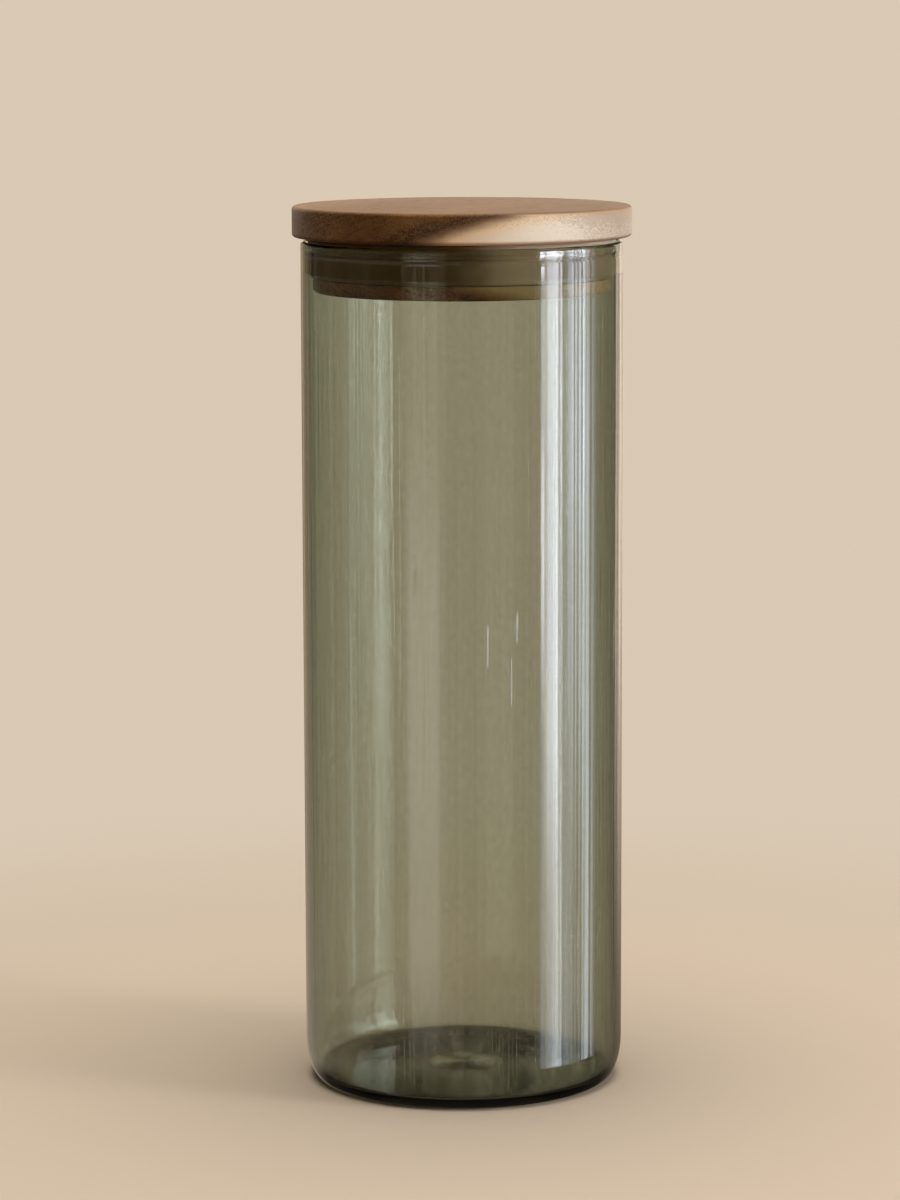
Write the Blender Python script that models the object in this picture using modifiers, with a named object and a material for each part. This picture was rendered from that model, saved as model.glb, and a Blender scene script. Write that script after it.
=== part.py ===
"""Airtight storage jar: a tall smoked-glass cylinder closed by a turned wooden lid.

The lid's plug carries a silicone ring that bears on the inside of the glass. Every piece is
a turned shape on the Z axis. Lengths are in metres; the origin is the centre of the base,
on the surface that the jar stands on, and +Z points up.
"""

import math

import bpy

MM = 0.001

# Glass jar
JAR_RADIUS = 50.0 * MM            # outside of the straight wall
JAR_HEIGHT = 264.1 * MM           # from the shelf to the top of the rim
GLASS_WALL = 2.4 * MM
GLASS_FLOOR = 3.4 * MM            # glass between the shelf and the contents
HEEL_REACH = 5.0 * MM             # how far the heel's curve draws in
HEEL_RISE = 13.0 * MM             # how far up the wall the heel's curve ends
FLOOR_CORNER_REACH = 2.6 * MM     # the same curve on the inside
FLOOR_CORNER_RISE = 9.6 * MM
FOOT_WIDTH = 9.0 * MM             # flat ring that touches the shelf
PUNT_RISE = 1.8 * MM              # how far the middle of the base is domed up
CLOSING_MARK_RADIUS = 13.0 * MM   # low swelling left where the glass tube was closed
CLOSING_MARK_RISE = 0.9 * MM

# Wooden lid
LID_OVERHANG = 2.6 * MM           # how far the disc stands out past the glass
LID_THICKNESS = 9.5 * MM
LID_EDGE = 1.1 * MM               # rounding of the disc's two edges
LID_GAP = 1.4 * MM                # air left between the disc and the rim
LIP_THICKNESS = 4.4 * MM          # wooden lip under the silicone ring
LIP_EDGE = 1.3 * MM
LIP_CLEARANCE = 1.1 * MM          # wooden lip to the inside of the glass

# Silicone ring
RING_CLEARANCE = 0.3 * MM         # ring to the glass, where the real ring is squeezed
GROOVE_CLEARANCE = 0.3 * MM       # ring to the wood on its three inner sides
RING_THICKNESS = 4.5 * MM         # from the groove's floor to the outside of the ribs
RIB_REACH = 1.1 * MM              # how far the ribs stand out of the valley between them
UPPER_RIB_HEIGHT = 3.2 * MM
VALLEY_HEIGHT = 1.1 * MM
SHOULDER_HEIGHT = 1.2 * MM        # curve from the valley out to the lower band
BAND_HEIGHT = 4.8 * MM            # straight part of the lower rib, which seals
TAPER_HEIGHT = 1.8 * MM           # curve from the lower band in to the wooden lip

# Faceting
TURN_STEPS = 64                   # facets in one turn
ARC_STEPS = 5                     # segments in a quarter of a large curve
EDGE_STEPS = 3                    # segments in a quarter of a small edge
MERGE_DISTANCE = 0.001 * MM
SMOOTH_ANGLE = math.radians(35)

# Radii and heights that follow from the sizes above
BORE_RADIUS = JAR_RADIUS - GLASS_WALL
FOOT_RADIUS = JAR_RADIUS - HEEL_REACH
LID_RADIUS = JAR_RADIUS + LID_OVERHANG
LIP_RADIUS = BORE_RADIUS - LIP_CLEARANCE
RIB_RADIUS = BORE_RADIUS - RING_CLEARANCE
VALLEY_RADIUS = RIB_RADIUS - RIB_REACH
RING_BORE_RADIUS = RIB_RADIUS - RING_THICKNESS
GROOVE_RADIUS = RING_BORE_RADIUS - GROOVE_CLEARANCE
RING_HEIGHT = UPPER_RIB_HEIGHT + VALLEY_HEIGHT + SHOULDER_HEIGHT + BAND_HEIGHT + TAPER_HEIGHT
GROOVE_HEIGHT = RING_HEIGHT + 2 * GROOVE_CLEARANCE
LID_SEAT = JAR_HEIGHT + LID_GAP   # height of the disc's underside


def clear_scene():
    for old in list(bpy.data.objects):
        bpy.data.objects.remove(old, do_unlink=True)


def arc(centre, reach, rise, start, end, steps):
    """Points of an ellipse's arc from one angle to another, in degrees, ends included."""
    points = []
    for step in range(steps + 1):
        angle = math.radians(start + (end - start) * step / steps)
        points.append((centre[0] + reach * math.cos(angle), centre[1] + rise * math.sin(angle)))
    return points


def dome(radius, rise, steps):
    """Points of a shallow dome, from its rim in to its middle, ends included."""
    points = []
    for step in range(steps + 1):
        share = 1 - step / steps
        points.append((radius * share, rise * (1 - share * share)))
    return points


def ease(outer, inner, steps):
    """Points of an S-shaped slope between two (radius, height) points, ends included."""
    points = []
    for step in range(steps + 1):
        share = step / steps
        lift = (1 - math.cos(math.pi * share)) / 2
        radius = outer[0] + (inner[0] - outer[0]) * share
        points.append((radius, outer[1] + (inner[1] - outer[1]) * lift))
    return points


def material(name, colour, roughness, transmission=0.0, ior=1.5):
    made = bpy.data.materials.new(name)
    made.use_nodes = True
    shader = made.node_tree.nodes["Principled BSDF"]
    shader.inputs["Base Color"].default_value = (*colour, 1.0)
    shader.inputs["Roughness"].default_value = roughness
    shader.inputs["Metallic"].default_value = 0.0
    shader.inputs["Transmission Weight"].default_value = transmission
    shader.inputs["IOR"].default_value = ior
    made.diffuse_color = (*colour, 1.0)
    return made


def turned(name, profile, closed, finish, collection):
    """Turn a (radius, height) profile about Z. It runs down its outer side."""
    mesh = bpy.data.meshes.new(name)
    edges = [(index, index + 1) for index in range(len(profile) - 1)]
    if closed:
        edges.append((len(profile) - 1, 0))
    mesh.from_pydata([(radius, 0, height) for radius, height in profile], edges, [])
    piece = bpy.data.objects.new(name, mesh)
    collection.objects.link(piece)

    screw = piece.modifiers.new("Turn", "SCREW")
    screw.axis = "Z"
    screw.angle = math.tau
    screw.steps = TURN_STEPS
    screw.render_steps = TURN_STEPS
    screw.use_merge_vertices = True
    screw.merge_threshold = MERGE_DISTANCE

    evaluated = piece.evaluated_get(bpy.context.evaluated_depsgraph_get())
    solid = bpy.data.meshes.new_from_object(evaluated)
    piece.modifiers.clear()
    piece.data = solid
    bpy.data.meshes.remove(mesh)
    solid.name = name
    solid.shade_smooth()
    solid.set_sharp_from_angle(angle=SMOOTH_ANGLE)
    solid.materials.append(finish)
    return piece


def jar_profile():
    """Inner floor, up the inside, over the rim, down the outside and in to the punt."""
    mark_foot = (CLOSING_MARK_RADIUS, GLASS_FLOOR)
    mark_middle = (0, GLASS_FLOOR + CLOSING_MARK_RISE)
    corner = (BORE_RADIUS - FLOOR_CORNER_REACH, GLASS_FLOOR + FLOOR_CORNER_RISE)
    rim = (JAR_RADIUS - GLASS_WALL / 2, JAR_HEIGHT - GLASS_WALL / 2)
    heel = (FOOT_RADIUS, HEEL_RISE)

    points = ease(mark_middle, mark_foot, ARC_STEPS)
    points += arc(corner, FLOOR_CORNER_REACH, FLOOR_CORNER_RISE, -90, 0, ARC_STEPS)
    points += arc(rim, GLASS_WALL / 2, GLASS_WALL / 2, 180, 0, 2 * EDGE_STEPS)
    points += arc(heel, HEEL_REACH, HEEL_RISE, 0, -90, ARC_STEPS)
    points += dome(FOOT_RADIUS - FOOT_WIDTH, PUNT_RISE, 2 * ARC_STEPS)
    return points


def ring_profile():
    """Silicone ring, from its top down; heights are counted from the disc's underside."""
    top = -GROOVE_CLEARANCE
    upper_rib = (VALLEY_RADIUS, top - UPPER_RIB_HEIGHT / 2)
    valley_end = top - UPPER_RIB_HEIGHT - VALLEY_HEIGHT
    band_top = valley_end - SHOULDER_HEIGHT
    band_foot = band_top - BAND_HEIGHT
    foot = band_foot - TAPER_HEIGHT
    taper_reach = RIB_RADIUS - LIP_RADIUS

    points = arc(upper_rib, RIB_REACH, UPPER_RIB_HEIGHT / 2, 90, -90, 2 * EDGE_STEPS)
    points += arc((VALLEY_RADIUS, band_top), RIB_REACH, SHOULDER_HEIGHT, 90, 0, EDGE_STEPS)
    points += arc((LIP_RADIUS, band_foot), taper_reach, TAPER_HEIGHT, 0, -90, EDGE_STEPS)
    points.append((RING_BORE_RADIUS, foot))
    points.append((RING_BORE_RADIUS, top))
    return points


def lid_profile():
    """Disc, groove and lip of the lid; heights are counted from the disc's underside."""
    disc_upper = (LID_RADIUS - LID_EDGE, LID_THICKNESS - LID_EDGE)
    disc_lower = (LID_RADIUS - LID_EDGE, LID_EDGE)
    lip_top = -GROOVE_HEIGHT
    lip_foot = lip_top - LIP_THICKNESS
    lip_lower = (LIP_RADIUS - LIP_EDGE, lip_foot + LIP_EDGE)

    points = [(0, LID_THICKNESS)]
    points += arc(disc_upper, LID_EDGE, LID_EDGE, 90, 0, EDGE_STEPS)
    points += arc(disc_lower, LID_EDGE, LID_EDGE, 0, -90, EDGE_STEPS)
    points.append((GROOVE_RADIUS, 0))
    points.append((GROOVE_RADIUS, lip_top))
    points.append((LIP_RADIUS, lip_top))
    points += arc(lip_lower, LIP_EDGE, LIP_EDGE, 0, -90, EDGE_STEPS)
    points.append((0, lip_foot))
    return points


def main():
    clear_scene()
    parts = bpy.data.collections.new("airtight_storage_jar")
    bpy.context.scene.collection.children.link(parts)

    smoked_glass = material("smoked_glass", (0.50, 0.53, 0.44), 0.02, transmission=1.0, ior=1.47)
    silicone = material("grey_silicone", (0.42, 0.40, 0.35), 0.45)
    acacia = material("oiled_acacia", (0.36, 0.20, 0.10), 0.50)

    turned("glass_jar", jar_profile(), False, smoked_glass, parts)

    # The lid and its ring lift and turn together about this point
    lid_axis = bpy.data.objects.new("lid_axis", None)
    lid_axis.location = (0, 0, LID_SEAT)
    parts.objects.link(lid_axis)

    ring = turned("silicone_seal", ring_profile(), True, silicone, parts)
    ring.parent = lid_axis
    lid = turned("wooden_lid", lid_profile(), False, acacia, parts)
    lid.parent = lid_axis


main()
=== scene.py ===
import math

import bmesh
import bpy
from mathutils import Matrix, Vector


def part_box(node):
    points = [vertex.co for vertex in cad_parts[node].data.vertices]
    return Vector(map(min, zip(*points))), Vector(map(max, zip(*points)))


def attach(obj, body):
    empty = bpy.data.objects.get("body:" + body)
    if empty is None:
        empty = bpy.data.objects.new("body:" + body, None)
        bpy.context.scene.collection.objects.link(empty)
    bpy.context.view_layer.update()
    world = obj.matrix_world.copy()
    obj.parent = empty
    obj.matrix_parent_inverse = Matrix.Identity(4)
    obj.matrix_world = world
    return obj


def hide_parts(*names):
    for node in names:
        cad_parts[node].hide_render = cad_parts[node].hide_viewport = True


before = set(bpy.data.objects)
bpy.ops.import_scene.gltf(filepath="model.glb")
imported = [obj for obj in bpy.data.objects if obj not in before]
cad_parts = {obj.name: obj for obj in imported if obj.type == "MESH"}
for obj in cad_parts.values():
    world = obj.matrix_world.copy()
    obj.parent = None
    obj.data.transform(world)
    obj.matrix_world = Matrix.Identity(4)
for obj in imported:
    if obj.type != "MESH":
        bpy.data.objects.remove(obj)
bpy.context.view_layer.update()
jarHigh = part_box("glass_jar")[1]
sealLow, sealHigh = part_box("silicone_seal")
lidLow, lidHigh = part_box("wooden_lid")
print("frame loaded")

mm = 0.001
mergeDistance = 0.001 * mm
discHeight = 9.5 * mm
seat = lidHigh.z - discHeight    # underside of the lid's disc


# shader maths

class Signal:
    # an output socket that can stand in a sum
    def __init__(self, paint, socket):
        self.paint = paint
        self.socket = socket

    def work(self, operation, first, second):
        return self.paint.node("ShaderNodeMath", {"operation": operation}, {0: first, 1: second})

    def __add__(self, other):
        return self.work("ADD", self, other)

    def __radd__(self, other):
        return self.work("ADD", other, self)

    def __sub__(self, other):
        return self.work("SUBTRACT", self, other)

    def __rsub__(self, other):
        return self.work("SUBTRACT", other, self)

    def __mul__(self, other):
        return self.work("MULTIPLY", self, other)

    def __rmul__(self, other):
        return self.work("MULTIPLY", other, self)

    def __truediv__(self, other):
        return self.work("DIVIDE", self, other)


class Paint:
    # one node tree; every node in it comes from make()
    def __init__(self, owner):
        owner.use_nodes = True
        self.owner = owner
        self.tree = owner.node_tree
        self.tree.nodes.clear()

    def make(self, kind, settings=None, sockets=None):
        made = self.tree.nodes.new(kind)
        for name, value in (settings or {}).items():
            if name == "ramp":
                self.setRamp(made.color_ramp, *value)
            else:
                setattr(made, name, value)
        for key, value in (sockets or {}).items():
            if isinstance(value, Signal):
                self.tree.links.new(value.socket, made.inputs[key])
            else:
                made.inputs[key].default_value = value
        return made

    def setRamp(self, ramp, interpolation, stops):
        ramp.interpolation = interpolation
        while len(ramp.elements) < len(stops):
            ramp.elements.new(1.0)
        for element, (place, colour) in zip(ramp.elements, stops):
            element.position = place
            element.color = (*colour, 1.0)

    def node(self, kind, settings=None, sockets=None, output=0):
        return Signal(self, self.make(kind, settings, sockets).outputs[output])

    def objectPlace(self):
        return self.node("ShaderNodeTexCoord", output="Object")

    def stretched(self, vector, sizes, offset=(0, 0, 0)):
        # a pattern whose features are about this large along X, Y and Z
        scale = tuple(1 / size for size in sizes)
        sockets = {"Vector": vector, "Scale": scale, "Location": offset}
        return self.node("ShaderNodeMapping", None, sockets)

    def noise(self, vector, detail, roughness=0.5):
        sockets = {"Vector": vector, "Scale": 1.0, "Detail": detail, "Roughness": roughness}
        return self.node("ShaderNodeTexNoise", None, sockets)

    def smooth(self, value, low, high):
        # 0 at low, 1 at high and an easy curve between; low may be the larger of the two
        settings = {"interpolation_type": "SMOOTHSTEP"}
        sockets = {"Value": value, "From Min": low, "From Max": high}
        return self.node("ShaderNodeMapRange", settings, sockets)

    def absolute(self, value):
        return self.node("ShaderNodeMath", {"operation": "ABSOLUTE"}, {0: value})

    def larger(self, first, second):
        return self.node("ShaderNodeMath", {"operation": "MAXIMUM"}, {0: first, 1: second})

    def length(self, vector):
        return self.node("ShaderNodeVectorMath", {"operation": "LENGTH"}, {0: vector}, "Value")

    def combine(self, x, y, z):
        return self.node("ShaderNodeCombineXYZ", None, {0: x, 1: y, 2: z})

    def crest(self, pattern, halfWidth):
        # narrow lines where a pattern passes its middle value
        return 1 - self.smooth(self.absolute(pattern - 0.5), 0.0, halfWidth)

    def mixColour(self, share, first, second, blend="MIX"):
        settings = {"data_type": "RGBA", "blend_type": blend}
        sockets = {"Factor": share, 6: colour4(first), 7: colour4(second)}
        return self.node("ShaderNodeMix", settings, sockets, output=2)

    def tones(self, value, stops, interpolation):
        # how strong a tone is along a ramp; the stops are (place, strength)
        top = max(strength for place, strength in stops)
        grey = [(place, (strength / top,) * 3) for place, strength in stops]
        ramp = self.node("ShaderNodeValToRGB", {"ramp": (interpolation, grey)}, {"Fac": value})
        return self.parts(ramp)[0] * top

    def parts(self, vector):
        split = self.make("ShaderNodeSeparateXYZ", None, {0: vector})
        return [Signal(self, out) for out in split.outputs]

    def bump(self, height, distance):
        sockets = {"Height": height, "Distance": distance, "Strength": 1.0}
        return self.node("ShaderNodeBump", None, sockets)

    def finish(self, surface, volume=None):
        sockets = {"Surface": surface}
        if volume:
            sockets["Volume"] = volume
        kind = "World" if isinstance(self.owner, bpy.types.World) else "Material"
        self.make("ShaderNodeOutput" + kind, None, sockets)
        return self.owner


def colour4(value):
    return value if isinstance(value, Signal) else (*value, 1.0)


def newPaint(name):
    return Paint(bpy.data.materials.new(name))


# profiles are (radius, height) points, turned about Z

def ellipseArc(centre, reach, rise, start, end, steps):
    points = []
    for step in range(steps + 1):
        angle = math.radians(start + (end - start) * step / steps)
        points.append((centre[0] + reach * math.cos(angle), centre[1] + rise * math.sin(angle)))
    return points


def easedSlope(start, end, steps):
    points = []
    for step in range(steps + 1):
        share = step / steps
        lift = (1 - math.cos(math.pi * share)) / 2
        radius = start[0] + (end[0] - start[0]) * share
        points.append((radius, start[1] + (end[1] - start[1]) * lift))
    return points


def spinPiece(name, profile, turns, material, closed=False, sharp=40):
    shape = bmesh.new()
    line = [shape.verts.new((radius, 0, height)) for radius, height in profile]
    for first, second in zip(line, line[1:] + line[:1]):
        if closed or second is not line[0]:
            shape.edges.new((first, second))
    bmesh.ops.spin(shape, geom=shape.verts[:] + shape.edges[:], cent=(0, 0, 0), axis=(0, 0, 1),
                   dvec=(0, 0, 0), angle=math.tau, steps=turns, use_merge=True)
    bmesh.ops.remove_doubles(shape, verts=shape.verts[:], dist=mergeDistance)
    bmesh.ops.recalc_face_normals(shape, faces=shape.faces[:])
    mesh = bpy.data.meshes.new(name)
    shape.to_mesh(mesh)
    shape.free()
    mesh.shade_smooth()
    mesh.set_sharp_from_angle(angle=math.radians(sharp))
    mesh.materials.append(material)
    piece = bpy.data.objects.new(name, mesh)
    bpy.context.scene.collection.objects.link(piece)
    return piece


# glass jar

glass = {
    "wall": 2.4 * mm,
    "floor": 3.4 * mm,
    "heelReach": 5.0 * mm,
    "heelRise": 13.0 * mm,
    "cornerReach": 2.6 * mm,
    "cornerRise": 9.6 * mm,
    "footWidth": 9.0 * mm,
    "puntRise": 1.8 * mm,
    "markRadius": 13.0 * mm,
    "markRise": 0.9 * mm,
    "steps": (16, 24, 20, 28, 20),   # along the mark, inner corner, rim, heel and punt
    "turns": 320,
    "ior": 1.47,
    "tint": (0.145, 0.235, 0.025),   # colour that the glass lets through
    "density": 222,                  # per metre of glass
    "lampTint": (0.82, 0.83, 0.80),
    "edgeTint": (0.20, 0.20, 0.17),  # what a lamp's light keeps where it grazes the glass
    "creaseHeight": 0.0014 * mm,     # drawn lines along the tube
    "ridgeHeight": 0.018 * mm,       # the few stronger ones
    "threadHeight": 0.009 * mm,
    "lineWidth": 0.013,              # half width of ridges and threads, as a share of their pattern
    "waveHeight": 0.0008 * mm,
    "ringHeight": 0.012 * mm,        # round the heel
    "airlineHeight": 0.45,           # share of its width
    "rippleHeight": 0.09 * mm,       # fire-polished rim
    "beadHeight": 0.20 * mm,
    "ridgeZone": (22 * mm, 40 * mm), # from no ridges to full ones, counted down from the rim
    "rippleZone": (5.5 * mm, 2.5 * mm),
    "beadZone": (5.0 * mm, 3.0 * mm),
    "heelZone": (16 * mm, 4 * mm),   # from no rings to full ones, counted up from the foot
    "ridgeShare": (0.50, 0.58),      # of their ends' pattern
    "threadShare": (0.48, 0.56),
    "clearShare": (0.40, 0.60),
    "cloudy": (0.945, 0.940, 0.930), # where the surface is a little dull
}

# patterns on the tube: size round it and along it, offset, detail and roughness
tubePatterns = {
    "creases": (1.3 * mm, 3000 * mm, (0, 0, 0), 2, 0.6),
    "ridges": (6 * mm, 1500 * mm, (2, 5, 1), 1, 0.5),
    "ridgeEnds": (5 * mm, 70 * mm, (7, 3, 4), 1, 0.5),
    "threads": (2.5 * mm, 2000 * mm, (1, 9, 6), 1, 0.5),
    "threadEnds": (9 * mm, 160 * mm, (3, 2, 8), 1, 0.5),
    "waves": (5 * mm, 900 * mm, (0, 0, 0), 2, 0.5),
    "ripple": (7 * mm, 0.9 * mm, (0, 0, 0), 1, 0.5),
    "rings": (12 * mm, 0.7 * mm, (0, 0, 0), 1, 0.5),
    "mottle": (1.9 * mm, 2.3 * mm, (0, 0, 0), 2, 0.6),
    "drawn": (1.4 * mm, 700 * mm, (4, 6, 2), 3, 0.7),
}

# airlines drawn out in the wall: turn from the camera's side, height, width and length
airlines = [
    (-16.4, 164 * mm, 0.7 * mm, 4.5 * mm),
    (8.4, 144 * mm, 0.6 * mm, 13 * mm),
    (18.7, 150 * mm, 0.9 * mm, 6 * mm),
    (16.9, 133 * mm, 0.5 * mm, 11 * mm),
]


def glassRelief(paint, place, up, pattern):
    # height of the fine relief that the drawn tube, its rim and its heel carry
    down = jarHigh.z - up
    ridges = paint.crest(pattern["ridges"], glass["lineWidth"])
    ridges = ridges * paint.smooth(pattern["ridgeEnds"], *glass["ridgeShare"])
    ridges = ridges * paint.smooth(down, *glass["ridgeZone"])
    threads = paint.crest(pattern["threads"], glass["lineWidth"])
    threads = threads * paint.smooth(pattern["threadEnds"], *glass["threadShare"])
    ripple = pattern["ripple"] * paint.smooth(down, *glass["rippleZone"])
    bead = paint.smooth(down, *glass["beadZone"])
    rings = pattern["rings"] * paint.smooth(up, *glass["heelZone"])
    height = paint.absolute(pattern["creases"] - 0.5) * glass["creaseHeight"]
    height = height + ridges * glass["ridgeHeight"] + threads * glass["threadHeight"]
    height = height + pattern["waves"] * glass["waveHeight"]
    height = height + ripple * glass["rippleHeight"] + bead * glass["beadHeight"]
    height = height + rings * glass["ringHeight"]
    for turn, rise, width, length in airlines:
        turn = math.radians(turn)
        centre = (jarHigh.x * math.sin(turn), -jarHigh.x * math.cos(turn), rise)
        away = paint.node("ShaderNodeVectorMath", {"operation": "SUBTRACT"}, {0: place, 1: centre})
        distance = paint.length(paint.stretched(away, (width, width, length)))
        height = height + (1 - paint.smooth(distance, 0.0, 1.0)) * (glass["airlineHeight"] * width)
    return height


def glassPaint():
    paint = newPaint("smokedGlass")
    place = paint.objectPlace()
    up = paint.parts(place)[2]
    pattern = {}
    for name, (width, length, offset, detail, roughness) in tubePatterns.items():
        vector = paint.stretched(place, (width, width, length), offset)
        pattern[name] = paint.noise(vector, detail, roughness)
    height = glassRelief(paint, place, up, pattern)
    clear = paint.smooth(pattern["mottle"] * 0.5 + pattern["drawn"] * 0.5, *glass["clearShare"])
    body = paint.node("ShaderNodeBsdfPrincipled", None, {
        "Base Color": paint.mixColour(clear, glass["cloudy"], (1, 1, 1)), "Roughness": 0.0,
        "IOR": glass["ior"], "Transmission Weight": 1.0, "Normal": paint.bump(height, 1.0)})
    grazing = paint.node("ShaderNodeLayerWeight", None, {"Blend": 0.5}, "Facing")
    kept = paint.mixColour(grazing * grazing * grazing, glass["lampTint"], glass["edgeTint"])
    letThrough = paint.node("ShaderNodeBsdfTransparent", None, {"Color": kept})
    lampRay = paint.node("ShaderNodeLightPath", output="Is Shadow Ray")
    surface = paint.node("ShaderNodeMixShader", None, {0: lampRay, 1: body, 2: letThrough})
    volume = paint.node("ShaderNodeVolumeAbsorption", None, {
        "Color": colour4(glass["tint"]), "Density": glass["density"]})
    return paint.finish(surface, volume)


def jarProfile():
    radius, height, wall = jarHigh.x, jarHigh.z, glass["wall"]
    bore, foot = radius - wall, radius - glass["heelReach"]
    floor = glass["floor"]
    corner = (bore - glass["cornerReach"], floor + glass["cornerRise"])
    rim = (radius - wall / 2, height - wall / 2)
    heel = (foot, glass["heelRise"])
    punt = foot - glass["footWidth"]
    markSteps, cornerSteps, rimSteps, heelSteps, puntSteps = glass["steps"]
    points = easedSlope((0, floor + glass["markRise"]), (glass["markRadius"], floor), markSteps)
    points += ellipseArc(corner, glass["cornerReach"], glass["cornerRise"], -90, 0, cornerSteps)
    points += ellipseArc(rim, wall / 2, wall / 2, 180, 0, rimSteps)
    points += ellipseArc(heel, glass["heelReach"], glass["heelRise"], 0, -90, heelSteps)
    for step in range(puntSteps + 1):
        share = 1 - step / puntSteps
        points.append((punt * share, glass["puntRise"] * (1 - share * share)))
    return points


jar = spinPiece("smokedGlassJar", jarProfile(), glass["turns"], glassPaint(), sharp=60)
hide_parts("glass_jar")
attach(jar, "jar")
print("jar made")


# silicone ring; the wood's settings come first, because the wood shows through the ring

wood = {
    "edge": 1.1 * mm,
    "groove": 42.5 * mm,
    "lip": 46.5 * mm,
    "lipHeight": 4.4 * mm,
    "lipEdge": 1.3 * mm,
    "steps": 8,                     # in a quarter of an edge's curve
    "turns": 256,
    "grainTurn": 28.1,              # degrees that the grain is turned from the Y axis
    "borderFoot": 12.0,             # sapwood's border: mm across the grain, at the disc's underside
    "borderLean": 1.36,             # how it leans and curves away above that
    "borderCurve": 0.147,
    "borderLip": 2.8,               # how it leans further down, and from which height
    "borderLipFrom": -10.0,
    "borderTop": 9.3,               # height at which heartwood covers the sapwood
    "borderTopSlope": 4.0,
    "borderSlope": 0.33,            # the border's steepness, waver and rounding
    "borderWaver": 1.6,
    "borderRound": 0.6,
    "heartDark": (0.060, 0.024, 0.006),
    "heartLight": (0.210, 0.105, 0.036),
    "border": (0.110, 0.060, 0.036),   # dark zone beside the sapwood
    "fleck": (0.022, 0.010, 0.005),
    "tanDark": (0.26, 0.155, 0.085),
    "tan": (0.80, 0.60, 0.38),
    "sap": (0.82, 0.73, 0.60),
    "sapSpeck": (0.34, 0.21, 0.12),
    "sapFarShade": (0.18, 0.12, 0.07),      # painted shade: darker towards its far end
    "litTopTone": (0.160, 0.092, 0.046),     # painted light and sheen: the top, painted lighter and greyer
    "lipHeartPaintedLight": (2.05, 1.75, 1.45),    # painted light: the lip's heartwood is painted lighter than the disc's
    "lipSap": (1.05, 0.94, 0.82),
    "lipFar": (1.75, 1.50, 1.25),      # painted light, strongest at the far end of the lip's sapwood
    "underDiscShadeTone": (0.52, 0.37, 0.27),   # painted shade along the edge under the disc
    "leftEndLightTone": (0.260, 0.170, 0.105), # painted light at the heartwood's outer end, where light grazes it from behind
    "roughness": 0.48,
    "gloss": 0.15,
    "sheen": 0.12,
    "sheenRoughness": 0.4,
    "relief": 0.03 * mm,
}

# patterns in the wood: sizes across the grain, along it and upwards in mm, offset, detail
# and roughness
woodPatterns = {
    "waver": ((9, 60, 4), (0, 0, 0), 2, 0.5),
    "fibres": ((0.45, 8.0, 0.30), (0, 0, 0), 3, 0.7),
    "dashes": ((1.5, 9.0, 0.34), (3, 7, 1), 1, 0.5),
    "clusters": ((7, 22, 3), (5, 2, 9), 2, 0.5),
    "grains": ((0.55, 0.9, 0.45), (2, 4, 6), 2, 0.7),
    "swirl": ((3.2, 12.0, 2.2), (8, 1, 3), 2, 0.6),
}

# where one look gives way to the next: in mm across the grain, along it, up from the disc's
# underside or into the sapwood, or as values of a pattern
woodZones = {
    "dashes": (0.56, 0.68),
    "lightGrain": (0.82, 1.10),
    "darkLayer": (4.0, 14.0),
    "leftEndLight": (-27.0, -39.0),
    "nearBorder": (-5.5, -0.6),
    "borderGrain": (0.38, 0.60),
    "borderTop": (2.0, 6.0),
    "crowded": (0.45, 0.65),
    "speckTop": (2.5, 8.5),
    "speckFar": (-32.0, -2.0),
    "speckClusters": (0.35, 0.70),
    "specks": (0.61, 0.79),
    "tanToSap": (2.0, 8.0),
    "tanLayers": (0.45, 0.75),
    "farShade": (-38.0, 6.0),
    "aboveRing": (-4.0, -2.0),
    "heartToTan": (-1.4, 1.4),
    "tanToPale": (0.2, 3.6),
    "lipBorder": (-0.5, 2.5),
    "lipPale": (0.5, 3.5),
    "lipFar": (-26.0, 0.0),
    "lip": (-10.5, -11.5),
    "underDiscShade": (1.4, 0.3),
    "aboveNeck": (-2.0, -1.0),
    "litTopLayers": (0.35, 0.65),
    "litTop": (8.9, 9.4),
}

ring = {
    "squeeze": 0.03 * mm,      # how far the sealing band presses into the glass's place
    "ribReach": 1.1 * mm,
    "upperRib": 3.2 * mm,
    "valley": 1.1 * mm,
    "shoulder": 1.2 * mm,
    "band": 4.8 * mm,
    "taper": 1.8 * mm,
    "lipReach": 1.08 * mm,
    "thickness": 4.7 * mm,
    "steps": 8,                # in a quarter of a curve
    "turns": 256,
    "overHeart": (0.230, 0.145, 0.060),   # clear silicone with the dark wood showing through
    "overSap": (0.90, 0.71, 0.55),        # the same over the pale wood
    "roughness": 0.38,
    "dustRoughness": 0.12,
    "gloss": 0.05,                        # pressed against the glass, so it hardly mirrors
    "scatter": 0.25,                      # how far it is translucent, and which light goes how deep
    "scatterColour": (1.0, 0.8, 0.5),
    "scatterDepth": 2.5 * mm,
    "paleFrom": 20 * mm,                  # where the pale wood starts behind it, across the grain
    "paleFull": 36 * mm,
    "paleSway": 8 * mm,                   # how far its border wavers
    "cloudSize": 9 * mm,
    "cloudShare": 0.3,
    "cloudTone": 0.7,
    "dustSize": 0.35 * mm,
    "dustHeight": 0.004 * mm,
}


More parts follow.
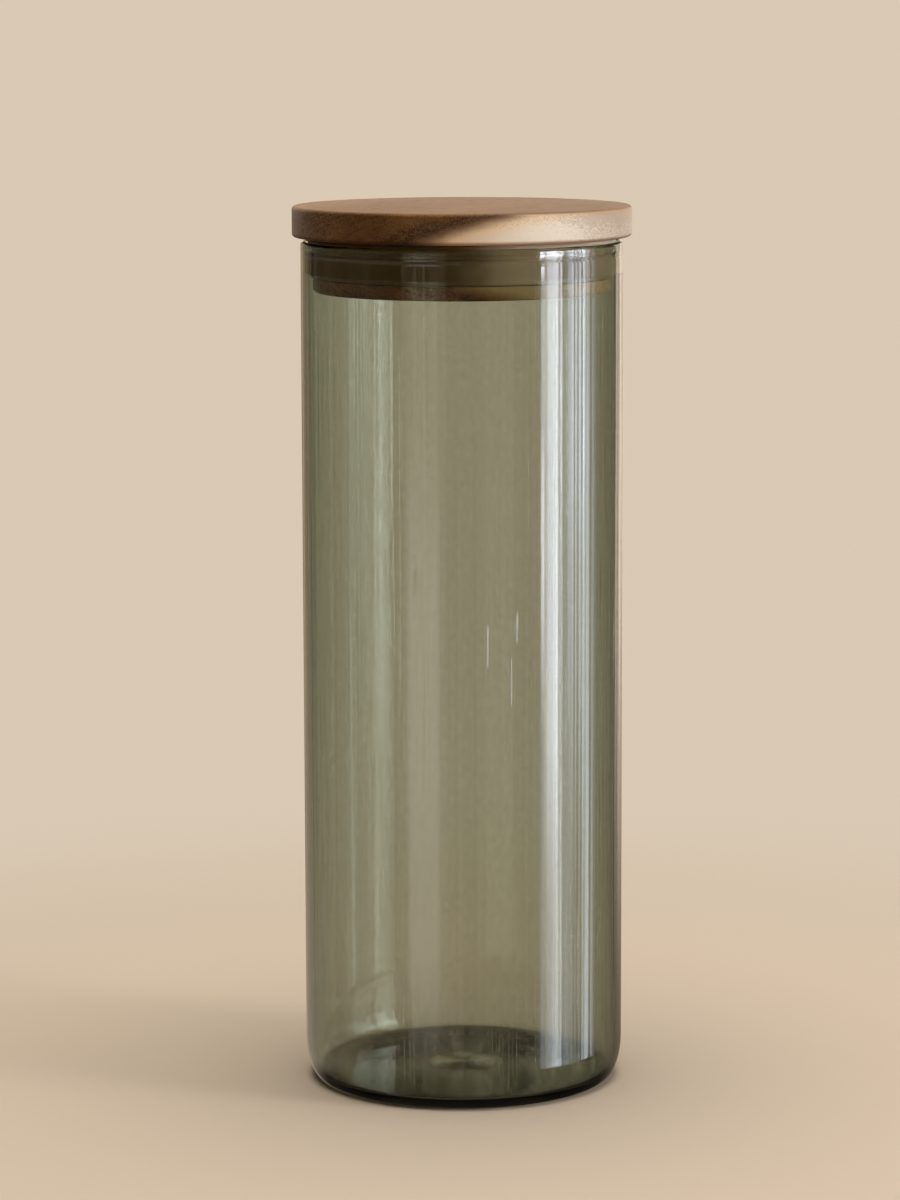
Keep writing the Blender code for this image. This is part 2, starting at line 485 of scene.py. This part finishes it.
def siliconePaint():
    paint = newPaint("greySilicone")
    place = paint.objectPlace()
    cloud = paint.noise(paint.stretched(place, (ring["cloudSize"],) * 3), 3)
    dust = paint.noise(paint.stretched(place, (ring["dustSize"],) * 3), 2)
    turn = math.radians(wood["grainTurn"])
    east, north = paint.parts(place)[:2]
    across = east * math.cos(turn) - north * math.sin(turn) + (cloud - 0.5) * ring["paleSway"]
    pale = paint.smooth(across, ring["paleFrom"], ring["paleFull"])
    colour = paint.mixColour(pale, ring["overHeart"], ring["overSap"])
    darker = tuple(ring["cloudTone"] * share for share in ring["overHeart"])
    colour = paint.mixColour(cloud * ring["cloudShare"], colour, darker)
    body = paint.node("ShaderNodeBsdfPrincipled", None, {
        "Base Color": colour, "Roughness": ring["roughness"] + dust * ring["dustRoughness"],
        "Specular IOR Level": ring["gloss"], "Subsurface Weight": ring["scatter"],
        "Subsurface Radius": ring["scatterColour"], "Subsurface Scale": ring["scatterDepth"],
        "Normal": paint.bump(dust, ring["dustHeight"])})
    return paint.finish(body)


def ringProfile():
    outer = jarHigh.x - glass["wall"] + ring["squeeze"]
    top = sealHigh.z
    valley = outer - ring["ribReach"]
    upperRib = (valley, top - ring["upperRib"] / 2)
    bandTop = top - ring["upperRib"] - ring["valley"] - ring["shoulder"]
    bandFoot = bandTop - ring["band"]
    taperStart = (outer - ring["lipReach"], bandFoot)
    bore = outer - ring["thickness"]
    steps = ring["steps"]
    points = ellipseArc(upperRib, ring["ribReach"], ring["upperRib"] / 2, 90, -90, 2 * steps)
    points += ellipseArc((valley, bandTop), ring["ribReach"], ring["shoulder"], 90, 0, steps)
    points += ellipseArc(taperStart, ring["lipReach"], ring["taper"], 0, -90, steps)
    points.append((bore, sealLow.z))
    points.append((bore, top))
    return points


seal = spinPiece("siliconeRing", ringProfile(), ring["turns"], siliconePaint(), closed=True)
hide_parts("silicone_seal")
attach(seal, "seal")
print("silicone ring made")


# turned acacia lid

def heartwood(paint, across, along, up, depth, layers, pattern):
    # dark wood, darker still beside the border, with pores drawn out along the grain and painted
    # light at its outer end
    zones = woodZones
    fibres, grains = pattern["fibres"], pattern["grains"]
    bands = paint.noise(paint.combine(depth * 0.16, along * 0.012, 4.0), 1)
    light = layers * 0.45 + fibres * 0.45 + grains * 0.55 + pattern["swirl"] * 0.18 + bands * 0.3
    lightShare = paint.smooth(light, *zones["lightGrain"])
    heart = paint.mixColour(lightShare, wood["heartDark"], wood["heartLight"])
    darkLayer = 1 - paint.smooth(paint.absolute(across + 5.0), *zones["darkLayer"])
    heart = paint.mixColour(darkLayer * 0.45, heart, wood["heartDark"])
    # painted light: the heartwood's outer end is painted lighter
    leftEndLight = paint.smooth(across, *zones["leftEndLight"])
    heart = paint.mixColour(leftEndLight * (0.35 + grains * 0.5), heart, wood["leftEndLightTone"])
    nearBorder = paint.smooth(depth, *zones["nearBorder"])
    borderGrain = paint.smooth(fibres * 0.5 + grains * 0.5, *zones["borderGrain"])
    darkBorder = paint.mixColour(borderGrain, wood["fleck"], wood["border"])
    borderShare = nearBorder * (0.45 + paint.smooth(up, *zones["borderTop"]) * 0.3)
    heart = paint.mixColour(borderShare, heart, darkBorder)
    crowded = paint.smooth(pattern["clusters"], *zones["crowded"])
    pores = pattern["dashes"] * (0.25 + nearBorder * 0.6 + crowded * 0.12)
    return paint.mixColour(pores, heart, wood["fleck"])


def sapwood(paint, along, up, sapDepth, layers, pattern):
    # pale wood, speckled towards the disc's top and its far end, with painted shade darkening that
    # far end
    zones = woodZones
    speckZone = (paint.smooth(up, *zones["speckTop"]) * 0.16
                 + paint.smooth(along, *zones["speckFar"]) * 0.20
                 + paint.smooth(pattern["clusters"], *zones["speckClusters"]) * 0.06)
    speckled = pattern["grains"] * 0.7 + pattern["fibres"] * 0.3 + speckZone
    specks = paint.smooth(speckled, *zones["specks"])
    sap = paint.mixColour(paint.smooth(sapDepth, *zones["tanToSap"]), wood["tan"], wood["sap"])
    sap = paint.mixColour(paint.smooth(layers, *zones["tanLayers"]) * 0.25, sap, wood["tan"])
    sap = paint.mixColour(specks * 0.5, sap, wood["sapSpeck"])
    # painted shade: the disc's sapwood is darkened towards its far end
    farShade = paint.smooth(along, *zones["farShade"]) * paint.smooth(up, *zones["aboveRing"])
    return paint.mixColour(farShade * 0.50, sap, wood["sapFarShade"])


def paintedLightAndShade(paint, base, heart, along, up, sapDepth, layers, fibres):
    # painted light and shade: the lip painted lighter, painted shade along the disc's lower edge,
    # and the top painted lighter for light from above and a grazing sheen
    zones = woodZones
    # painted light: the lip is painted lighter, most towards its far end
    lipSap = paint.smooth(sapDepth, *zones["lipBorder"])
    lipPaintedTone = paint.mixColour(lipSap, wood["lipHeartPaintedLight"], wood["lipSap"])
    lipFarShare = paint.smooth(sapDepth, *zones["lipPale"]) * paint.smooth(along, *zones["lipFar"])
    lipPaintedTone = paint.mixColour(lipFarShare, lipPaintedTone, wood["lipFar"])
    base = paint.mixColour(paint.smooth(up, *zones["lip"]), base, lipPaintedTone, "MULTIPLY")
    # painted shade: the disc's lower edge and underside are darkened
    underDiscShade = paint.smooth(up, *zones["underDiscShade"]) * paint.smooth(up, *zones["aboveNeck"])
    base = paint.mixColour(underDiscShade, base, wood["underDiscShadeTone"], "MULTIPLY")
    # painted light and sheen: the top is painted lighter, with its grain
    litTopShare = 0.35 + fibres * 0.4 + paint.smooth(layers, *zones["litTopLayers"]) * 0.35
    litTop = paint.mixColour(litTopShare, heart, wood["litTopTone"])
    return paint.mixColour(paint.smooth(up, *zones["litTop"]), base, litTop)


def acaciaPaint():
    paint = newPaint("oiledAcacia")
    zones = woodZones
    place = paint.node("ShaderNodeMapping", None, {
        "Vector": paint.objectPlace(), "Location": (0, 0, -seat / mm),
        "Scale": (1 / mm, 1 / mm, 1 / mm),
        "Rotation": (0, 0, math.radians(wood["grainTurn"]))})   # in millimetres from here on
    across, along, up = paint.parts(place)
    pattern = {}
    for name, (size, offset, detail, roughness) in woodPatterns.items():
        pattern[name] = paint.noise(paint.stretched(place, size, offset), detail, roughness)
    pattern["dashes"] = paint.smooth(pattern["dashes"], *zones["dashes"])
    fibres, grains, dashes = pattern["fibres"], pattern["grains"], pattern["dashes"]

    # distance into the sapwood, which lies under the heartwood along one side
    above = paint.larger(up, 0.0)
    below = paint.larger(wood["borderLipFrom"] - up, 0.0)
    border = (wood["borderFoot"] + above * wood["borderLean"] + above * above * wood["borderCurve"]
              + below * wood["borderLip"])
    waver = (pattern["waver"] - 0.5) * wood["borderWaver"]
    depth = (across - border) * wood["borderSlope"] + waver
    underTop = (wood["borderTop"] - up) * wood["borderTopSlope"]
    sapDepth = paint.node("ShaderNodeMath", {"operation": "SMOOTH_MIN"},
                          {0: depth, 1: underTop, 2: wood["borderRound"]})
    layers = paint.noise(paint.combine(depth * 0.8, along * 0.02, up * 0.10), 4, 0.65)

    heart = heartwood(paint, across, along, up, depth, layers, pattern)
    sap = sapwood(paint, along, up, sapDepth, layers, pattern)
    base = paint.mixColour(paint.smooth(sapDepth, *zones["heartToTan"]), heart, wood["tanDark"])
    paleShare = paint.smooth(sapDepth + (grains - 0.5) * 1.2, *zones["tanToPale"])
    base = paint.mixColour(paleShare, base, sap)
    base = paintedLightAndShade(paint, base, heart, along, up, sapDepth, layers, fibres)

    height = fibres * 0.5 - dashes * 0.6 + grains * 0.3
    body = paint.node("ShaderNodeBsdfPrincipled", None, {
        "Base Color": base, "Roughness": wood["roughness"] + fibres * 0.15 + dashes * 0.15,
        "Specular IOR Level": wood["gloss"], "Sheen Weight": wood["sheen"],
        "Sheen Roughness": wood["sheenRoughness"], "Normal": paint.bump(height, wood["relief"])})
    return paint.finish(body)


def lidProfile():
    radius, top, edge = lidHigh.x, lidHigh.z, wood["edge"]
    foot = lidLow.z
    lip, lipEdge, steps = wood["lip"], wood["lipEdge"], wood["steps"]
    lipTop = foot + wood["lipHeight"]
    points = [(0, top)]
    points += ellipseArc((radius - edge, top - edge), edge, edge, 90, 0, steps)
    points += ellipseArc((radius - edge, seat + edge), edge, edge, 0, -90, steps)
    points.append((wood["groove"], seat))
    points.append((wood["groove"], lipTop))
    points.append((lip, lipTop))
    points += ellipseArc((lip - lipEdge, foot + lipEdge), lipEdge, lipEdge, 0, -90, steps)
    points.append((0, foot))
    return points


lid = spinPiece("acaciaLid", lidProfile(), wood["turns"], acaciaPaint())
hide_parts("wooden_lid")
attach(lid, "lid")
print("lid made")


# studio

studio = {
    "cream": (0.700, 0.585, 0.455),
    "paleWall": (2.0, 1.85, 1.65),       # pale band that the glass mirrors left of its middle
    "beyond": (0.98, 0.91, 0.74),        # browner where the jar's left edge mirrors it
    "lowLeft": (0.480, 0.390, 0.300),    # what the lower part of the jar mirrors
    "lowRight": (0.220, 0.170, 0.120),
    "underneath": (0.045, 0.036, 0.027),
    "belowFar": (0.110, 0.090, 0.068),   # the pale floor, as the jar mirrors it from above
    "streaksRound": 30,                  # how closely the streaks in it follow each other
    "streaksUp": 0.4,
    "ambient": (0.125, 0.098, 0.072),
    "wallAmbient": (0.42, 0.36, 0.29),
    "floor": (0.43, 0.355, 0.275),
    "floorRadius": 6.0,
    "floorSegments": 96,
    "fadeStart": 0.13,                   # where the floor starts to fade into the background
    "fadeEnd": 0.46,
    "windowRadius": 1.6,
    "windowLow": -0.50,
    "windowHigh": 0.75,
    "windowStart": 55.0,              # degrees round from the camera
    "windowEnd": 109.3,
    "windowPower": 1.80,
    "windowTint": (0.94, 0.97, 1.04),
    "skyTint": (0.92, 0.97, 1.12),    # of its brightest pane
    "paneTint": (0.89, 0.98, 1.16),   # of the panes on the right, as mirrored
    "windowFolds": 26,                # how closely the curtain's folds follow each other
    "windowSlope": 0.075,             # how the window's foot rises to the right
    "windowSteps": 48,
    "skyPower": 30.0,
    "skySize": 1.1,
    "skyDistance": 1.3,
    "keyPower": 7.4,
    "keySize": 0.45,
    "keyTurn": 70.0,
    "keyRise": 30.0,
    "keyDistance": 1.6,
    "lampColour": (1.0, 0.97, 0.93),
    "lampAim": 0.2,                      # height that both lamps face
}


# how bright the surroundings are in reflections, by degrees round from straight ahead
surroundings = [
    (-180, 0.16), (-172, 0.22), (-168, 0.60), (-158, 0.90), (-146, 0.90), (-139, 0.75),
    (-136, 0.12), (-124, 0.10), (-108, 0.25), (-92, 0.28), (-72, 0.26), (-45, 0.25),
    (-32, 0.85), (-4, 0.95), (4, 1.20), (12, 2.40), (34, 3.00), (39, 0.45), (50, 0.16), (180, 0.16),
]


# where one look gives way to the next in reflections: by a ray's upward share, by its bearing
# in radians, or as values of a pattern
roomZones = {
    "streaks": (0.40, 0.68),
    "beyondStart": (-0.9, -0.6),
    "beyondEnd": (0.02, -0.05),
    "lowSides": (-0.1, 0.1),
    "low": (-0.10, -0.26),
    "paleStart": (-2.95, -2.75),
    "paleEnd": (-2.40, -2.50),
    "paleTop": (-0.02, -0.12),
    "paleFoot": (-0.28, -0.22),
    "underneath": (-0.29, -0.50),
    "belowFar": (-0.80, -0.88),
    "behind": (0.25, 0.85),
}


def rayTests(paint):
    # whether a ray was mirrored, whether it went through glass and whether it is the camera's
    rays = paint.make("ShaderNodeLightPath").outputs
    mirrored = paint.smooth(Signal(paint, rays["Glossy Depth"]), 0.0, 1.0)
    through = Signal(paint, rays["Is Transmission Ray"])
    return mirrored, through, Signal(paint, rays["Is Camera Ray"])


def mirroredRoom(paint, up, bearing):
    # what the jar mirrors: streaked surroundings, darker below and browner beyond its left edge
    zones = roomZones
    stops = [((turn + 180) / 360, tone) for turn, tone in surroundings]
    tone = paint.tones(bearing / math.tau + 0.5, stops, "LINEAR")
    streaked = paint.combine(bearing * studio["streaksRound"], up * studio["streaksUp"], 0.5)
    streaks = paint.noise(streaked, 4, 0.8)
    bright = tone * (paint.smooth(streaks, *zones["streaks"]) * 1.5 + 0.30)
    bright = paint.combine(bright, bright, bright)
    around = paint.mixColour(1.0, studio["cream"], bright, "MULTIPLY")
    beyond = (paint.smooth(bearing, *zones["beyondStart"])
              * paint.smooth(bearing, *zones["beyondEnd"]))
    around = paint.mixColour(beyond, around, studio["beyond"], "MULTIPLY")
    lowSide = paint.smooth(bearing, *zones["lowSides"])
    low = paint.mixColour(lowSide, studio["lowLeft"], studio["lowRight"])
    around = paint.mixColour(paint.smooth(up, *zones["low"]), around, low)
    pale = paint.smooth(bearing, *zones["paleStart"]) * paint.smooth(bearing, *zones["paleEnd"])
    pale = pale * paint.smooth(up, *zones["paleTop"]) * paint.smooth(up, *zones["paleFoot"])
    around = paint.mixColour(pale, around, studio["paleWall"])
    around = paint.mixColour(paint.smooth(up, *zones["underneath"]), around, studio["underneath"])
    return paint.mixColour(paint.smooth(up, *zones["belowFar"]), around, studio["belowFar"])


def worldPaint():
    world = bpy.data.worlds.new("paleStudio")
    bpy.context.scene.world = world
    paint = Paint(world)
    mirrored, through, fromCamera = rayTests(paint)
    east, north, up = paint.parts(paint.node("ShaderNodeTexCoord", output="Generated"))
    bearing = paint.node("ShaderNodeMath", {"operation": "ARCTAN2"}, {0: east, 1: north})
    seen = paint.mixColour(mirrored, studio["cream"], mirroredRoom(paint, up, bearing))
    backdrop = paint.node("ShaderNodeBackground", None, {"Color": seen, "Strength": 1.0})
    behind = paint.smooth(north, *roomZones["behind"])
    soft = paint.mixColour(behind, studio["ambient"], studio["wallAmbient"])
    ambient = paint.node("ShaderNodeBackground", None, {"Color": soft, "Strength": 1.0})
    share = paint.smooth(mirrored + through + fromCamera, 0.0, 1.0)
    paint.finish(paint.node("ShaderNodeMixShader", None, {0: share, 1: ambient, 2: backdrop}))


def floorPaint():
    paint = newPaint("paleFloor")
    mirrored, through, fromCamera = rayTests(paint)
    direct = paint.smooth(through + fromCamera, 0.0, 1.0)
    far = paint.smooth(paint.length(paint.objectPlace()), studio["fadeStart"], studio["fadeEnd"])
    matt = paint.node("ShaderNodeBsdfDiffuse", None, {"Color": colour4(studio["floor"])})
    flat = paint.node("ShaderNodeEmission", None, {"Color": colour4(studio["cream"])})
    ground = paint.node("ShaderNodeMixShader", None, {0: far * direct, 1: matt, 2: flat})
    gone = paint.node("ShaderNodeBsdfTransparent")
    return paint.finish(paint.node("ShaderNodeMixShader", None, {0: mirrored, 1: ground, 2: gone}))


def stageMesh(name, shape, material):
    mesh = bpy.data.meshes.new(name)
    shape.to_mesh(mesh)
    shape.free()
    mesh.materials.append(material)
    piece = bpy.data.objects.new(name, mesh)
    bpy.context.scene.collection.objects.link(piece)
    return piece


def makeFloor():
    shape = bmesh.new()
    bmesh.ops.create_circle(shape, cap_ends=True, segments=studio["floorSegments"],
                            radius=studio["floorRadius"])
    stageMesh("paleFloor", shape, floorPaint())


# where the window's bars and folds of curtain start, in degrees round from the camera, and how
# bright each is
panes = [
    (55.0, 0.1), (56.5, 6.5), (59.0, 1.9), (61.1, 2.8), (62.6, 5.1), (66.6, 7.8), (70.8, 2.0),
    (72.6, 4.3), (74.8, 0.9), (79.4, 1.5), (83.6, 2.3), (85.1, 0.4), (86.5, 1.5), (88.0, 0.6),
    (90.1, 1.3), (92.1, 0.3), (94.2, 2.1), (96.9, 1.0), (101.4, 0.1), (103.8, 0.5), (106.8, 0.1),
]

# where one part of the window gives way to the next, as shares of its width
windowZones = {
    "leftBar": (0.078, 0.072),
    "wideBar": (0.295, 0.285),
    "rightPart": (0.33, 0.40),
    "farPart": (0.44, 0.52),
    "edgeLine": (0.765, 0.785),
    "folds": (0.36, 0.64),       # values of their pattern
    "brightPane": (3.2, 5.0),    # brightness at which a pane takes the sky's tint
}


# and by height in metres
windowHeights = {
    "sky": (0.245, 0.280),
    "farUpper": (-0.02, 0.10),
    "farLower": (-0.30, 0.0),
    "edgeUpper": (0.10, 0.18),
    "wideLower": (-0.08, -0.32),
    "leftLower": (-0.15, 0.04),
    "leftUpper": (0.07, 0.15),
    "lit": (-0.06, 0.20),
}


def windowSpread(paint, up, share, rightPart, mirrored):
    # how bright the window is by height: each part fades towards its foot in its own way, the
    # top is bright sky that the lid's ring mirrors, and the lid is lit more evenly
    zones, heights = windowZones, windowHeights
    sky = paint.smooth(up, *heights["sky"])
    farPart = paint.smooth(share, *zones["farPart"])
    edgeLine = paint.smooth(share, *zones["edgeLine"])
    wideBar = paint.smooth(share, *zones["wideBar"])
    leftBar = paint.smooth(share, *zones["leftBar"])
    far = paint.smooth(up, *heights["farUpper"]) * 0.95
    far = far + paint.smooth(up, *heights["farLower"]) * 1.35 + sky * 2.8 - 0.5
    far = far + edgeLine * (1.5 - paint.smooth(up, *heights["edgeUpper"]) * 0.6 - far)
    near = sky * 1.6 + 0.1 - wideBar * paint.smooth(up, *heights["wideLower"]) * 0.65
    bar = paint.smooth(up, *heights["leftLower"]) * 0.75
    bar = bar - paint.smooth(up, *heights["leftUpper"]) * 0.55 + sky * 3.0 - 0.85
    near = near + leftBar * (bar - near)
    asMirrored = farPart * far + (1 - farPart) * near
    asLit = rightPart * paint.smooth(up, *heights["lit"]) * 1.1
    return (1 + asLit + mirrored * (asMirrored - asLit)) * (0.80 + mirrored * 0.20)


def windowPaint():
    paint = newPaint("windowLight")
    mirrored, through = rayTests(paint)[:2]
    east, north, up = paint.parts(paint.objectPlace())
    bearing = paint.node("ShaderNodeMath", {"operation": "ARCTAN2"}, {0: east, 1: north * -1})
    start, end, low = studio["windowStart"], studio["windowEnd"], studio["windowLow"]
    share = (bearing - math.radians(start)) / math.radians(end - start)
    stops = [((turn - start) / (end - start), power) for turn, power in panes]
    tone = paint.tones(share, stops, "CONSTANT")
    folds = paint.noise(paint.combine(share * studio["windowFolds"], 0.5, 0.5), 3, 0.8)
    folds = paint.smooth(folds, *windowZones["folds"]) * 0.8 + 0.60
    foot = up - share * share * studio["windowSlope"]
    sill = paint.smooth(foot, low + 0.005, low + 0.02)
    rightPart = paint.smooth(share, *windowZones["rightPart"])
    spread = windowSpread(paint, up, share, rightPart, mirrored)
    power = tone * folds * sill * spread * studio["windowPower"]
    brightPane = paint.smooth(tone, *windowZones["brightPane"])
    tint = paint.mixColour(brightPane, studio["windowTint"], studio["skyTint"])
    tint = paint.mixColour(rightPart * mirrored, tint, studio["paneTint"])
    glow = paint.node("ShaderNodeEmission", None, {"Color": tint, "Strength": power})
    gone = paint.node("ShaderNodeBsdfTransparent")
    unseen = through * (1 - mirrored)
    return paint.finish(paint.node("ShaderNodeMixShader", None, {0: unseen, 1: glow, 2: gone}))


def makeWindow():
    shape = bmesh.new()
    start = math.radians(studio["windowStart"])
    arm = studio["windowRadius"]
    foot = shape.verts.new((arm * math.sin(start), -arm * math.cos(start), studio["windowLow"]))
    head = shape.verts.new((foot.co.x, foot.co.y, studio["windowHigh"]))
    edge = shape.edges.new((foot, head))
    sweep = math.radians(studio["windowEnd"] - studio["windowStart"])
    bmesh.ops.spin(shape, geom=[foot, head, edge], cent=(0, 0, 0), axis=(0, 0, 1), dvec=(0, 0, 0),
                   angle=sweep, steps=studio["windowSteps"])
    window = stageMesh("windowLight", shape, windowPaint())
    window.visible_camera = False
    window.visible_shadow = False


def makeLamp(name, turn, rise):
    # a round lamp that faces the lid from a bearing, counted from the camera's side, and a rise;
    # its size, power and distance are the studio's settings that start with its name
    lamp = bpy.data.lights.new(name + "Light", "AREA")
    lamp.shape = "DISK"
    lamp.size = studio[name + "Size"]
    lamp.energy = studio[name + "Power"]
    lamp.color = studio["lampColour"]
    turn, rise = math.radians(turn), math.radians(rise)
    level = math.cos(rise)
    away = Vector((math.sin(turn) * level, -math.cos(turn) * level, math.sin(rise)))
    place = away * studio[name + "Distance"] + Vector((0, 0, studio["lampAim"]))
    facing = away.to_track_quat("Z", "Y").to_matrix().to_4x4()
    source = bpy.data.objects.new(name + "Light", lamp)
    source.matrix_world = Matrix.Translation(place) @ facing
    source.visible_camera = False
    source.visible_glossy = False
    source.visible_transmission = False
    bpy.context.scene.collection.objects.link(source)


worldPaint()
makeFloor()
makeWindow()
makeLamp("sky", 0, 90)
makeLamp("key", studio["keyTurn"], studio["keyRise"])
print("studio made")


# camera

shot = {
    "place": (0.0, -1.285, 0.3393),
    "lens": 124.3,       # mm, on a sensor of this width
    "sensor": 36,
    "pitch": -8.31,      # degrees above the horizon
    "yaw": 0.177,        # degrees to the left
    "roll": 0.156,
}


def makeCamera():
    data = bpy.data.cameras.new("camera")
    data.lens = shot["lens"]
    data.sensor_width = shot["sensor"]
    camera = bpy.data.objects.new("camera", data)
    bpy.context.scene.collection.objects.link(camera)
    aim = Matrix.Rotation(math.radians(shot["yaw"]), 4, "Z")
    tilt = Matrix.Rotation(math.radians(90 + shot["pitch"]), 4, "X")
    roll = Matrix.Rotation(math.radians(-shot["roll"]), 4, "Z")
    camera.matrix_world = Matrix.Translation(shot["place"]) @ aim @ tilt @ roll
    bpy.context.scene.camera = camera


makeCamera()
bpy.context.scene.view_settings.view_transform = "Standard"
